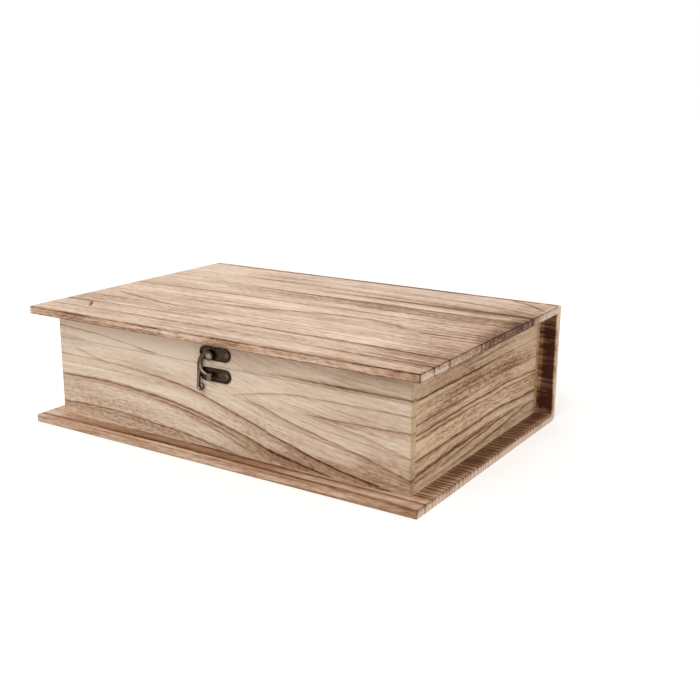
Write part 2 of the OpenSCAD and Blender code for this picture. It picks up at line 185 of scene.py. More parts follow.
floor_material, floor_tree = new_material("white_paper_floor")
paper = add(floor_tree, "ShaderNodeBsdfDiffuse", [linear(FLOOR_GREY)])
glow_strength = add(floor_tree, MATH, [seen_directly(floor_tree), FLOOR_GLOW], operation="MULTIPLY")
glow = add(floor_tree, "ShaderNodeEmission", {"Strength": glow_strength})
add(floor_tree, "ShaderNodeOutputMaterial", [add(floor_tree, "ShaderNodeAddShader", [paper, glow])])

floor_mesh = bpy.data.meshes.new("floor")
floor_mesh.from_pydata([(x * FLOOR_HALF, y * FLOOR_HALF, cad_low.z) for x, y in CORNERS], [],
                       [(0, 1, 2, 3)])
floor_mesh.materials.append(floor_material)
floor = bpy.data.objects.new("floor", floor_mesh)
bpy.context.scene.collection.objects.link(floor)
bpy.context.scene.view_settings.view_transform = "Standard"
print("floor in m:", 2 * FLOOR_HALF, "x", 2 * FLOOR_HALF)

# %% [markdown]
# ## Eased edges
#
# Sawn and sanded boards never have knife edges: a sanding pad leaves them about 0.4 mm round, and
# that thin round catches the light. The block is sanded after it is glued, so its joints stay
# nearly closed and get less. The meshes come with their faces split along each edge, so a small
# geometry tree first joins the split points and clears the stored normals. A Decimate modifier
# then melts the triangles of each flat face into one, since a bevel would slide along their thin
# edges, and a Bevel modifier rounds what is sharper than 35 degrees. The meshes stay as they are.

# %% Geometry tree that joins split faces
JOIN_DISTANCE = 0.002 * MM
SMOOTH_UNDER = math.radians(35)


def joining_tree():
    """Geometry tree that joins split points and shades smooth up to the angle SMOOTH_UNDER."""
    tree = bpy.data.node_groups.new("join_split_faces", "GeometryNodeTree")
    for in_out in ("INPUT", "OUTPUT"):
        tree.interface.new_socket("Geometry", in_out=in_out, socket_type="NodeSocketGeometry")
    bare = add(tree, "GeometryNodeRemoveAttribute", {
        "Geometry": add(tree, "NodeGroupInput"), "Name": "custom_normal"})
    joined = add(tree, "GeometryNodeMergeByDistance", {"Geometry": bare, "Distance": JOIN_DISTANCE})
    smooth = add(tree, "GeometryNodeSetShadeSmooth", {"Geometry": joined})
    angle = add(tree, "GeometryNodeInputMeshEdgeAngle")
    gentle = add(tree, "FunctionNodeCompare", [angle, SMOOTH_UNDER], operation="LESS_THAN")
    marked = add(tree, "GeometryNodeSetShadeSmooth", {"Geometry": smooth, "Shade Smooth": gentle},
                 domain="EDGE")
    add(tree, "NodeGroupOutput", [marked])
    return tree


JOINING = joining_tree()
print("nodes of the joining tree:", len(JOINING.nodes))

# %% Modifiers that round the edges
FLAT_UNDER = math.radians(0.5)
BEVEL_STEPS = 3


def ease(node_name, width_mm):
    """Joins the node's split faces and, where width_mm isn't 0, rounds its edges by it."""
    piece = nodes[node_name]
    piece.modifiers.new("join", "NODES").node_group = JOINING
    if width_mm:
        flat = piece.modifiers.new("flat_faces", "DECIMATE")
        flat.decimate_type = "DISSOLVE"
        flat.angle_limit = FLAT_UNDER
        bevel = piece.modifiers.new("eased_edges", "BEVEL")
        bevel.width = width_mm * MM
        bevel.segments = BEVEL_STEPS
        bevel.limit_method = "ANGLE"
        bevel.angle_limit = SMOOTH_UNDER
        bevel.use_clamp_overlap = False
        bevel.loop_slide = False
        bevel.harden_normals = True


print("faces count as flat under", round(math.degrees(FLAT_UNDER), 1), "degrees")

# %% Ease the boards
SHELL_EASE_MM = 0.4
BLOCK_EASE_MM = 0.15
SHELL = ["bottom_cover", "spine_lower", "top_cover", "spine_upper"]
BLOCK = ["front_wall", "rear_wall", "left_wall", "right_wall",
         "front_rim", "rear_rim", "left_rim", "right_rim"]

for name in BLOCK + SHELL:
    ease(name, SHELL_EASE_MM if name in SHELL else BLOCK_EASE_MM)
print("eased wooden pieces:", len(BLOCK + SHELL))

# %% [markdown]
# ## Growth lines
#
# Paulownia is a very light, pale wood. For boxes like this its surface is scorched and then
# brushed: the flame browns the hard late wood of each year more than the soft early wood, so the
# growth lines turn dark, and the brush leaves fine streaks along the fibres. A picture of wood
# could give that, but it would stretch on the edges. A solid pattern runs through the board as real
# wood does, so the lines on a cover come out again on its sawn ends. One growth line has a thin
# dark core, where winter stopped the tree, and brown wood on one side that fades away from it.

# %% One growth line, as a node group
# The brown side begins softly, over this distance on each side of the core's middle
RISE_MM = 0.4


def growth_line_group():
    """Core and brown side of a growth line at a signed distance in mm, brown where it is over 0."""
    tree = bpy.data.node_groups.new("growth_line", "ShaderNodeTree")
    for name in ("Distance", "Core mm", "Soft mm"):
        tree.interface.new_socket(name, in_out="INPUT", socket_type="NodeSocketFloat")
    for name in ("Core", "Shade"):
        tree.interface.new_socket(name, in_out="OUTPUT", socket_type="NodeSocketFloat")
    distance, core_mm, soft_mm = add(tree, "NodeGroupInput").outputs[:3]
    core = add(tree, RANGE, {
        "Value": add(tree, MATH, [distance], operation="ABSOLUTE"), "From Max": core_mm,
        "To Min": 1.0, "To Max": 0.0}, interpolation_type="SMOOTHSTEP")
    fade = add(tree, RANGE, {
        "Value": distance, "From Max": soft_mm, "To Min": 1.0, "To Max": 0.0},
        interpolation_type="SMOOTHSTEP")
    rise = add(tree, RANGE, {"Value": distance, "From Min": -RISE_MM, "From Max": RISE_MM})
    shade = add(tree, MATH, [fade, rise], operation="MULTIPLY")
    add(tree, "NodeGroupOutput", [core, shade])
    return tree


GROWTH_LINE = growth_line_group()
print("growth line nodes:", len(GROWTH_LINE.nodes))

# %% [markdown]
# ## The wood itself, as one shader group
#
# Every board shares this group and only changes its colours and its growth lines. The vector that
# goes in is in millimetres and has the fibres along its X, so the sizes below are real ones: brush
# streaks about 2.5 mm wide and some centimetres long, thin threads of late wood, short dashes of
# cut fibres, pores 0.7 mm wide, flecks where the fibres wave, and cloudy patches where the flame
# stayed longer. All of them add up to one tone, and the tone picks the colour: pale wood at 0,
# brown at 1 and burnt at 2. That keeps every dark mark a warm brown, as scorched wood is. The
# brush leaves the surface matt, a little rougher where the fibres are torn.

# %% Marks of the wood
# Each has its size in mm, along the fibres and across them, its own start in the noise, so that
# no two share a pattern, and the noise's detail
STREAKS = ((85.0, 2.6, 2.6), 3.1, 3.0)
DASHES = ((8.0, 0.9, 0.9), 17.3, 2.0)
CLOUDS = ((55.0, 14.0, 14.0), 41.7, 3.0)
THREADS = ((150.0, 1.5, 1.5), 27.9, 1.0)
PORES = ((7.0, 0.7, 0.7), 73.9, 1.0)
FLECKS = ((5.0, 1.2, 1.2), 57.1, 1.0)
NOISE_ROUGHNESS = 0.55
# A mark begins at the first value of the noise and is full at the second
SPARSE = (0.56, 0.72)
DENSE = (0.46, 0.66)


def blotches(tree, place, size_mm, start, detail):
    """Smooth unevenness from 0 to 1, in blotches of the given size in mm along each axis."""
    scaled = add(tree, VECTOR, [place, [1 / size for size in size_mm]], operation="MULTIPLY")
    moved = add(tree, VECTOR, [scaled, [start] * 3])
    return add(tree, "ShaderNodeTexNoise", {
        "Vector": moved, "Scale": 1.0, "Detail": detail, "Roughness": NOISE_ROUGHNESS})


def marks(tree, place, kind, limits):
    """1 in separate marks of one of the kinds above and 0 between them, with soft borders."""
    return add(tree, RANGE, {
        "Value": blotches(tree, place, *kind), "From Min": limits[0], "From Max": limits[1]},
        interpolation_type="SMOOTHSTEP")


print("widest marks of the wood in mm:", CLOUDS[0])

# %% What the marks do to the tone, the roughness and the height
# What a full mark adds to the tone, and the mean of them all, which is taken off again
STREAK_TONE, DASH_TONE, CLOUD_TONE, THREAD_TONE, PORE_TONE = 2.5, 2.2, 1.6, 0.7, 0.45
MEAN_TONE = 3.2
# A growth line is broken up by the dashes: its least darkness, and what a full dash adds
LINE_LEAST, LINE_DASHED = 0.3, 1.4
WOOD_ROUGHNESS = (0.55, 0.78)
LINE_RIDGE, PORE_PIT = 0.6, 0.5


def wood_tone(tree, tone, lines, contrast, fleck_share, surface):
    """Sum of everything that darkens the wood. surface holds the marks by their names."""
    pattern = -MEAN_TONE
    for name, share in (("streaks", STREAK_TONE), ("dashes", DASH_TONE), ("clouds", CLOUD_TONE),
                        ("threads", THREAD_TONE), ("pores", PORE_TONE)):
        pattern = add(tree, MATH, [surface[name], share, pattern], operation="MULTIPLY_ADD")
    total = add(tree, MATH, [pattern, contrast, tone], operation="MULTIPLY_ADD")
    total = add(tree, MATH, [surface["flecks"], fleck_share, total], operation="MULTIPLY_ADD")
    broken = add(tree, MATH, [surface["dashes"], LINE_DASHED, LINE_LEAST], operation="MULTIPLY_ADD")
    return add(tree, MATH, [lines, broken, total], operation="MULTIPLY_ADD")


print("roughness of the wood:", WOOD_ROUGHNESS)

# %% The wood group
def wood_group():
    """Colour, roughness and height of burnt and brushed paulownia from a place in mm."""
    tree = bpy.data.node_groups.new("brushed_paulownia", "ShaderNodeTree")
    for name, kind in (("Place mm", "Vector"), ("Lines", "Float"), ("Tone", "Float"),
                       ("Flecks", "Float"), ("Contrast", "Float"), ("Pale", "Color"),
                       ("Brown", "Color"), ("Burnt", "Color")):
        tree.interface.new_socket(name, in_out="INPUT", socket_type="NodeSocket" + kind)
    for name, kind in (("Colour", "Color"), ("Roughness", "Float"), ("Height", "Float")):
        tree.interface.new_socket(name, in_out="OUTPUT", socket_type="NodeSocket" + kind)
    place, lines, tone, fleck_share, contrast, pale, brown, burnt = add(
        tree, "NodeGroupInput").outputs[:8]

    surface = {"streaks": blotches(tree, place, *STREAKS),
               "dashes": blotches(tree, place, *DASHES),
               "clouds": blotches(tree, place, *CLOUDS),
               "threads": marks(tree, place, THREADS, SPARSE),
               "pores": marks(tree, place, PORES, SPARSE),
               "flecks": marks(tree, place, FLECKS, DENSE)}
    total = wood_tone(tree, tone, lines, contrast, fleck_share, surface)

    to_brown = add(tree, MIX, {"Factor": total, COLOUR_A: pale, COLOUR_B: brown},
                   data_type="RGBA").outputs[MIXED]
    past_brown = add(tree, MATH, [total, 1.0], operation="SUBTRACT")
    colour = add(tree, MIX, {"Factor": past_brown, COLOUR_A: to_brown, COLOUR_B: burnt},
                 data_type="RGBA").outputs[MIXED]

    roughness = add(tree, RANGE, {
        "Value": surface["dashes"], "To Min": WOOD_ROUGHNESS[0], "To Max": WOOD_ROUGHNESS[1]})
    ridges = add(tree, MATH, [lines, LINE_RIDGE, surface["dashes"]], operation="MULTIPLY_ADD")
    height = add(tree, MATH, [surface["pores"], -PORE_PIT, ridges], operation="MULTIPLY_ADD")
    add(tree, "NodeGroupOutput", [colour, roughness, height])
    return tree


PAULOWNIA = wood_group()
print("wood group nodes:", len(PAULOWNIA.nodes))

# %% [markdown]
# ## Burnt edges
#
# Heat gets into a board's corner from two sides, so every outer edge is a thin dark line. The
# shader can't ask where an edge is, but it knows the board's box. A point's distances to the three
# nearer faces of that box tell it: on a flat face one of them is 0, and the second smallest is the
# distance to the nearest edge.

# %% Distance to a board's nearest edge, as a node group
EDGE_CORE_MM = 0.3
EDGE_LINE_MM = 1.1


def edge_group():
    """1 on the edges of a box in mm, 0 from EDGE_LINE_MM on."""
    tree = bpy.data.node_groups.new("burnt_edge", "ShaderNodeTree")
    for name in ("Place mm", "Middle mm", "Half mm"):
        tree.interface.new_socket(name, in_out="INPUT", socket_type="NodeSocketVector")
    tree.interface.new_socket("Edge", in_out="OUTPUT", socket_type="NodeSocketFloat")
    place, middle, half = add(tree, "NodeGroupInput").outputs[:3]
    off = add(tree, VECTOR, [place, middle], operation="SUBTRACT")
    size = add(tree, VECTOR, [off], operation="ABSOLUTE")
    inside = add(tree, VECTOR, [half, size], operation="SUBTRACT")
    x, y, z = add(tree, "ShaderNodeSeparateXYZ", [inside]).outputs
    least = add(tree, MATH, [x, y], operation="MINIMUM")
    most = add(tree, MATH, [x, y], operation="MAXIMUM")
    second = add(tree, MATH, [least, add(tree, MATH, [most, z], operation="MINIMUM")],
                 operation="MAXIMUM")
    add(tree, "NodeGroupOutput", [add(tree, RANGE, {
        "Value": second, "From Min": EDGE_CORE_MM, "From Max": EDGE_LINE_MM,
        "To Min": 1.0, "To Max": 0.0}, interpolation_type="SMOOTHSTEP")])
    return tree


BURNT_EDGE = edge_group()
print("edge group nodes:", len(BURNT_EDGE.nodes))

# %% [markdown]
# ## Boards
#
# A board is described by the axis that its fibres follow, the axis across them, and its growth
# lines. Each line is a few points that were placed on the real box: how far along the board,
# how high across it, and how dark the line is there. A Float Curve node runs smoothly through such
# points, so two of them make a line: one for its height and one for its darkness. The board's
# streaks follow one more curve, because fibres bend with the growth lines. Patches darken or
# lighten a region of a board, or fleck it, with a ragged border. Sawn ends drink more of the tar
# that the flame sweats out, which leaves them yellower. Dry brushed wood hardly shines, so its
# specular level is low, and a shallow bump follows the ridges that the brush leaves standing.

# %% Curves and patches
# How much the ragged noise adds to a patch's distance, and the distances where the patch begins
# and ends to fade, as shares of its reach
PATCH_RAGGED = 0.7
PATCH_FULL, PATCH_END = 0.75, 1.45


def drawn(node, points):
    """Draws a Float Curve node's line through (0 to 1, 0 to 1) points, level past its ends."""
    node.mapping.extend = "HORIZONTAL"
    line = node.mapping.curves[0]
    for spot, place in zip(line.points, (points[0], points[-1])):
        spot.location = place
    for x, y in points[1:-1]:
        line.points.new(x, y)
    node.mapping.update()
    return node


def patch(tree, place, centre, reach, ragged):
    """1 at a point in mm, falling to 0 over the reach in mm along each axis, with a ragged edge."""
    off = add(tree, VECTOR, [place, centre], operation="SUBTRACT")
    scaled = add(tree, VECTOR, [off, [1 / r for r in reach]], operation="MULTIPLY")
    far = add(tree, VECTOR, [scaled], operation="LENGTH").outputs["Value"]
    far = add(tree, MATH, [ragged, PATCH_RAGGED, far], operation="MULTIPLY_ADD")
    return add(tree, RANGE, {
        "Value": far, "From Min": PATCH_FULL, "From Max": PATCH_END, "To Min": 1.0, "To Max": 0.0},
        interpolation_type="SMOOTHSTEP")


print("a patch fades between these shares of its reach:", PATCH_FULL, PATCH_END)

# %% Growth lines of one board
def growth(tree, height, share_along, lines, shares, span, base):
    """Sums of the cores and of the brown sides of a board's growth lines."""
    core = shade = 0.0
    for core_mm, soft_mm, points in lines:
        spots = shares(points)
        line_height = drawn(add(tree, CURVE, {"Value": share_along}), spots)
        middle = add(tree, MATH, [line_height, span, base], operation="MULTIPLY_ADD")
        pair = [height, middle] if soft_mm > 0 else [middle, height]
        line = add(tree, GROUP, {
            "Distance": add(tree, MATH, pair, operation="SUBTRACT"),
            "Core mm": core_mm, "Soft mm": abs(soft_mm)}, node_tree=GROWTH_LINE)
        darkness = drawn(add(tree, CURVE, {"Value": share_along}),
                         [(x, point[2]) for (x, y), point in zip(spots, points)])
        core = add(tree, MATH, [line.outputs["Core"], darkness, core], operation="MULTIPLY_ADD")
        shade = add(tree, MATH, [line.outputs["Shade"], darkness, shade], operation="MULTIPLY_ADD")
    return core, shade


print("sockets of a growth line:", [socket.name for socket in GROWTH_LINE.interface.items_tree])

# %% Burnt edges of one board
# The ragged noise burns the edges more here and less there
EDGE_RAGGED, EDGE_LESS = 2.0, 0.2


def burn_edges(tree, place, box, ragged, edges, core):
    """Adds the burnt edges of a box in mm to the cores of the growth lines."""
    low, high = [Vector(corner) for corner in box]
    edge = add(tree, GROUP, {"Place mm": place, "Middle mm": (low + high) / 2,
                             "Half mm": (high - low) / 2}, node_tree=BURNT_EDGE)
    dark = add(tree, MATH, [ragged, EDGE_RAGGED * edges, -EDGE_LESS * edges],
               operation="MULTIPLY_ADD")
    return add(tree, MATH, [edge, dark, core], operation="MULTIPLY_ADD")


print("a burnt edge is dark over mm:", EDGE_LINE_MM)

# %% Patches and sawn ends of one board
END_TINT = "#fff3dd"


def lay_patches(tree, place, ragged, patches, tone):
    """The tone with all patches laid over it, and their flecks."""
    flecked = 0.0
    for centre, reach, amount, flecks in patches:
        inside = patch(tree, place, centre, reach, ragged)
        tone = add(tree, MATH, [inside, amount, tone], operation="MULTIPLY_ADD")
        flecked = add(tree, MATH, [inside, flecks, flecked], operation="MULTIPLY_ADD")
    return tone, flecked


def tint_ends(tree, place, ragged, ends, colour):
    """The colour with the yellower sawn ends laid over it."""
    for centre, reach in ends:
        colour = add(tree, MIX, {
            "Factor": patch(tree, place, centre, reach, ragged), COLOUR_A: colour,
            COLOUR_B: linear(END_TINT)}, data_type="RGBA", blend_type="MULTIPLY").outputs[MIXED]
    return colour


print("tint of the sawn ends:", END_TINT)

# %% One board's material
RAGGED_MM = (40.0, 40.0, 40.0)
RAGGED_DETAIL = 3.0
# The lines waver by up to half of this, and boards with other seeds lie this far apart in the noise
WAVE_MM = 3.0
SEED_STEP_MM = 1000.0
SHADE_TONE = 0.55
WOOD_GLOSS = 0.15
BUMP_DEPTH = 0.12 * MM
BUMP_STRENGTH = 0.6


def place_in_mm(tree):
    """Each point's place in mm in its own piece, which moves with the piece."""
    own = add(tree, "ShaderNodeTexCoord").outputs["Object"]
    return add(tree, VECTOR, {0: own, "Scale": 1 / MM}, operation="SCALE")


def board_material(name, box, along, across, lines, flow, tones, tone, contrast, edges, seed,
                   coarse=1.0, patches=(), ends=(), outer=None):
    """Wood for one board. box is its lowest and highest corner in mm, along the axis of its fibres
    and across the axis that the lines are spaced over. lines is a list of (core mm, soft mm,
    [(along mm, across mm, darkness), ...]), where a soft side under 0 lies below the line, and
    flow is the (along mm, across mm) points that the streaks follow. tones are the pale, brown and
    burnt colours, and coarse widens the streaks. patches is a list of (centre mm, reach mm, tone,
    flecks), and ends a list of (centre mm, reach mm) where the wood is yellower. edges is the
    darkness of the burnt edges, and outer the box that they lie on, where it isn't the board's."""
    material, tree = new_material(name)
    place = place_in_mm(tree)
    parts = add(tree, "ShaderNodeSeparateXYZ", [place]).outputs
    fibre, rise = "XYZ".index(along), "XYZ".index(across)
    third = 3 - fibre - rise
    low, high = box
    length = high[fibre] - low[fibre]
    # A curve goes from 0 to 1 only. It is spread over twice the board's height, half of a board
    # past each side, so that a line can leave the board.
    span = 2 * (high[rise] - low[rise])
    base = low[rise] - span / 4
    share_along = add(tree, RANGE, {
        "Value": parts[fibre], "From Min": low[fibre], "From Max": high[fibre]})

    def shares(points):
        return [((p[0] - low[fibre]) / length, (p[1] - base) / span) for p in points]

    ragged = blotches(tree, place, RAGGED_MM, seed, RAGGED_DETAIL)
    height = add(tree, MATH, [ragged, WAVE_MM, parts[rise]], operation="MULTIPLY_ADD")
    height = add(tree, MATH, [height, WAVE_MM / 2], operation="SUBTRACT")
    core, shade = growth(tree, height, share_along, lines, shares, span, base)
    core = burn_edges(tree, place, outer or box, ragged, edges, core)

    streak_line = drawn(add(tree, CURVE, {"Value": share_along}), shares(flow))
    bend = add(tree, MATH, [streak_line, -span], operation="MULTIPLY")
    narrower = add(tree, MATH, [add(tree, MATH, [height, bend]), 1 / coarse], operation="MULTIPLY")
    seeded = add(tree, MATH, [parts[third], SEED_STEP_MM * seed])
    grain = add(tree, "ShaderNodeCombineXYZ", [parts[fibre], narrower, seeded])

    toned = add(tree, MATH, [shade, SHADE_TONE, tone], operation="MULTIPLY_ADD")
    toned, flecked = lay_patches(tree, place, ragged, patches, toned)
    pale, brown, burnt = [linear(hex_colour) for hex_colour in tones]
    wood = add(tree, GROUP, {
        "Place mm": grain, "Lines": core, "Tone": toned, "Flecks": flecked, "Contrast": contrast,
        "Pale": pale, "Brown": brown, "Burnt": burnt}, node_tree=PAULOWNIA)
    bump = add(tree, "ShaderNodeBump", {
        "Height": wood.outputs["Height"], "Distance": BUMP_DEPTH, "Strength": BUMP_STRENGTH})
    shader = add(tree, "ShaderNodeBsdfPrincipled", {
        "Base Color": tint_ends(tree, place, ragged, ends, wood.outputs["Colour"]),
        "Roughness": wood.outputs["Roughness"], "Normal": bump, "Specular IOR Level": WOOD_GLOSS})
    add(tree, "ShaderNodeOutputMaterial", [shader])
    return material


print("depth of the brushed surface in mm:", round(BUMP_DEPTH / MM, 2))

# %% Dress pieces and measure them
GLUED_MM = Vector((0, 0, 10))


def dress(material, *names):
    """Gives every slot of the named CAD nodes that material."""
    for node_name in names:
        for slot in nodes[node_name].material_slots:
            slot.material = material


def box_mm(*names):
    """Lowest and highest corner, in mm, of the named nodes together."""
    corners = [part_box(node_name) for node_name in names]
    return ([min(low[i] for low, high in corners) / MM for i in range(3)],
            [max(high[i] for low, high in corners) / MM for i in range(3)])


walls = box_mm("front_wall", "rear_wall", "left_wall", "right_wall", "front_rim")
# The covers are glued to the block above and below, where it has no edge that the flame reaches
block = (Vector(walls[0]) - GLUED_MM, Vector(walls[1]) + GLUED_MM)
print("page block in mm, stretched past the glued covers:", block)

# %% [markdown]
# ## Front board
#
# The front wall and the lid's front rim were one board until the saw parted them, so they share one
# material and their lines run on across the cut. It was sawn from near the tree's middle: the lines
# sweep down to the right in long arcs. Over the upper arc lies pale early wood, and the brown wood
# under the arcs is flecked. Noise alone would give lines, but not these, and the eye knows a board
# by its arcs, so they are placed one by one and only the fine streaks between them are noise.

# %% Front board
FRONT_TONES = ("#e9d6c0", "#a8866b", "#4d3123")
FRONT_LINES = [
    (1.1, -4.0, [(-158, 79, 0.5), (-110, 76, 0.8), (-80, 72.5, 0.8), (-55, 70.5, 0.0)]),
    (1.0, -3.0, [(-146, 65, 0.0), (-135, 61, 0.3), (-116, 57, 0.3), (-105, 56, 0.0)]),
    (1.3, -6.0, [(-158, 56, 0.5), (-90, 55, 0.4), (-58, 52.5, 0.6), (-18, 46.5, 0.9),
                 (22, 35, 0.9), (62, 23, 1.0), (102, 13, 0.9), (134, 7.5, 0.8), (156, 3, 0.0)]),
    (1.5, -8.0, [(-158, 39, 0.7), (-118, 40.5, 0.8), (-68, 38, 1.0), (-28, 33, 0.8),
                 (12, 25, 0.8), (52, 14, 0.9), (88, 8, 0.7), (112, 3, 0.0)]),
    (0.8, -3.0, [(-60, 34.5, 0.0), (-20, 28.5, 0.6), (10, 21.5, 0.6), (30, 15, 0.0)]),
    (0.7, -3.0, [(-30, 27.5, 0.0), (0, 21, 0.5), (22, 14, 0.4), (34, 11, 0.0)]),
    (1.2, -12.0, [(-158, 16, 0.7), (-108, 17.5, 0.7), (-58, 14.5, 0.8), (-2, 9, 0.7),
                  (30, 4, 0.0)]),
    (0.9, -3.0, [(14, 50, 0.0), (30, 54, 0.4), (55, 58, 0.5), (82, 59.5, 0.45), (158, 60, 0.5)]),
    (1.2, -7.0, [(24, 50, 0.0), (40, 46, 0.5), (60, 40, 0.6), (100, 31, 0.65), (158, 17, 0.6)]),
    (0.9, -4.0, [(76, 47, 0.0), (100, 47.5, 0.55), (158, 48.5, 0.55)]),
    (0.8, -3.0, [(80, 46, 0.0), (105, 43, 0.3), (158, 32, 0.3)]),
    (1.5, 4.0, [(40, 71, 0.0), (85, 71, 0.7), (120, 70.8, 0.85), (158, 70.5, 0.7)]),
]
FRONT_FLOW = [(-158, 40), (-68, 38), (-20, 32), (52, 14), (158, 0)]
FRONT_PATCHES = [
    # Browner wood, flecked under the arcs
    ((-150, -102, 10), (170, 30, 38), 0.1, 0.3),
    ((130, -102, 48), (90, 30, 90), 0.16, 0.0),
    ((20, -102, 30), (60, 30, 14), 0.1, 0.3),
    ((80, -102, 8), (90, 30, 13), 0.3, 0.35),
    # Pale wood over the upper arc, and over it painted light that lifts the top cover's shade under
    # its overhang
    ((-60, -102, 68), (120, 30, 9), -0.15, 0.0),
    ((-95, -102, 80), (80, 30, 14), -0.6, 0.0),
    # Smaller paler and browner parts
    ((60, -102, 62), (110, 30, 12), -0.1, 0.0),
    ((80, -102, 80), (35, 30, 12), -0.25, 0.0),
    ((125, -102, 46), (60, 30, 12), 0.12, 0.1),
    ((145, -102, 18), (30, 30, 20), 0.25, 0.2),
    ((-50, -102, 18), (120, 30, 22), 0.02, 0.12),
    ((50, -102, 14), (60, 30, 14), 0.12, 0.1),
    # Joint with the right board
    ((159, -99, 48), (1.2, 60, 90), -0.12, 0.0),
]
front_board = board_material(
    "front_board_of_burnt_paulownia", box_mm("front_wall", "front_rim"), "X", "Z", FRONT_LINES,
    FRONT_FLOW, FRONT_TONES, tone=0.24, contrast=0.38, edges=0.3, seed=0.31, outer=block,
    patches=FRONT_PATCHES,
    ends=[((160, -99, 48), (2.5, 60, 90)), ((-160, -99, 48), (2.5, 60, 90))])
dress(front_board, "front_wall", "front_rim")
print("front board lines:", len(FRONT_LINES))

# %% [markdown]
# ## Side and rear boards
#
# The right side is quarter sawn: its lines run nearly level and close together, some of them fork,
# and the wood over them is flecked. The left and rear boards, which the photograph hides, are
# quieter boards of the same kind. Turning the right board's material round would be quicker, but
# then a fork would show twice, so each of them has a few lines of its own.

# %% Right board
SIDE_TONES = ("#f0d0ae", "#a37956", "#4d3120")
RIGHT_LINES = [
    (1.1, 2.5, [(-102, 69.6, 1.0), (0, 69.4, 1.0), (30, 69.3, 0.4), (110, 69.2, 0.2)]),
    (1.0, -2.5, [(-102, 53, 0.9), (-30, 53.4, 0.9), (-15, 53.2, 0.0), (110, 53, 0.0)]),
    (1.0, -2.5, [(-102, 46, 0.8), (-30, 47, 1.0), (15, 46.8, 1.1), (60, 45.5, 1.0),
                 (110, 42, 0.9)]),
    (0.9, -2.5, [(-102, 42.5, 0.8), (-30, 43.5, 0.9), (48, 42, 0.8), (110, 39, 0.4)]),
    (1.1, -3.5, [(-102, 28.5, 0.9), (-20, 29.5, 1.0), (23, 30.3, 1.1), (65, 28, 1.1),
                 (110, 26, 1.0)]),
    (3.0, -5.0, [(-102, 18.5, 0.8), (-60, 20, 1.1), (-20, 21, 0.95), (20, 22.3, 0.5),
                 (40, 22, 0.0)]),
    (1.0, -3.0, [(-60, 14, 0.2), (-20, 17, 0.9), (25, 19.5, 0.9), (60, 21, 0.7), (80, 22, 0.0)]),
    (1.0, -3.0, [(-35, 10, 0.2), (0, 11.3, 0.9), (40, 13.5, 0.9), (65, 16, 0.8),
                 (95, 17.6, 0.3)]),
    (1.0, -3.0, [(-102, 14, 0.6), (-70, 15, 0.4), (-50, 15.2, 0.0), (110, 15, 0.0)]),
    (0.9, -3.0, [(-102, 62, 0.3), (-30, 63, 0.4), (40, 61, 0.4), (110, 56, 0.2)]),
]
RIGHT_FLOW = [(-102, 5), (0, 7), (110, 4)]
RIGHT_PATCHES = [
    # Flecked wood over the lines
    ((158, -25, 76), (30, 55, 20), 0.25, 0.2),
    ((158, 0, 60), (30, 110, 9), 0.1, 0.5),
    ((158, 0, 36), (30, 120, 9), -0.05, 0.5),
    # Paler parts
    ((158, 85, 74), (30, 45, 13), -0.3, 0.0),
    ((158, -85, 36), (30, 30, 6), -0.2, 0.0),
    ((158, -80, 62), (30, 40, 9), -0.15, 0.0),
    # Painted light beside the spine, which lifts the shade of that corner
    ((158, 105, 66), (30, 17, 24), -0.35, 0.0),
]
right_board = board_material(
    "right_board_of_burnt_paulownia", box_mm("right_wall", "right_rim"), "Y", "Z", RIGHT_LINES,
    RIGHT_FLOW, SIDE_TONES, tone=0.29, contrast=0.68, edges=0.2, seed=0.57, outer=block,
    patches=RIGHT_PATCHES)
dress(right_board, "right_wall", "right_rim")
print("right board lines:", len(RIGHT_LINES))

# %% Left and rear boards
LEFT_LINES = [
    (1.1, -5.0, [(-102, 74, 0.5), (-10, 77, 0.7), (110, 73, 0.6)]),
    (1.2, -8.0, [(-102, 58, 0.7), (0, 61, 0.8), (110, 57, 0.7)]),
    (1.0, -4.0, [(-102, 47, 0.6), (20, 49, 0.5), (110, 46, 0.7)]),
    (1.3, -9.0, [(-102, 33, 0.7), (-30, 36, 0.9), (50, 35, 0.8), (110, 31, 0.7)]),
    (1.0, -4.0, [(-102, 22, 0.5), (0, 24, 0.6), (110, 19, 0.6)]),
    (1.2, -7.0, [(-102, 12, 0.7), (30, 14, 0.7), (110, 9, 0.6)]),
]
left_board = board_material(
    "left_board_of_burnt_paulownia", box_mm("left_wall", "left_rim"), "Y", "Z", LEFT_LINES,
    RIGHT_FLOW, SIDE_TONES, tone=0.35, contrast=0.4, edges=0.15, seed=0.87, outer=block,
    patches=[((-158, 40, 40), (30, 80, 20), 0.15, 0.3)])
dress(left_board, "left_wall", "left_rim")

REAR_HEIGHTS = (12, 30, 41, 58, 78)
REAR_LINES = [(1.2, -9.0, [(-158, z, 0.2), (-150, z, 0.6), (-20, z + 5, 0.8), (150, z - 2, 0.7),
                           (158, z - 2, 0.2)]) for z in REAR_HEIGHTS]
rear_board = board_material(
    "rear_board_of_burnt_paulownia", box_mm("rear_wall", "rear_rim"), "X", "Z", REAR_LINES,
    [(-158, 0), (-20, 5), (158, -2)], SIDE_TONES, tone=0.4, contrast=0.34, edges=0.15, seed=0.21,
    outer=block,
    patches=[((159, 107, 20), (2, 60, 60), 0.2, 0.0), ((159, 107, 85), (2, 60, 30), -0.35, 0.0)],
    ends=[((160, 107, 48), (2.5, 60, 90)), ((-160, 107, 48), (2.5, 60, 90))])
dress(rear_board, "rear_wall", "rear_rim")
print("left and rear board lines:", len(LEFT_LINES), len(REAR_LINES))

# %% [markdown]
# ## Top cover
#
# The covers are glued up from narrower planks. The top one is pinkish and pale, with thin lines
# along its whole length, one small knot mark near the left end of the front, and a burnt patch on
# its right end, where the flame stayed. Its front edge is browner, with darker scorched stretches.
# Real planks could be modelled, but their joints are closed and planed flat, so here a plank is
# only a long patch of another tone, and the lines run on beside it.

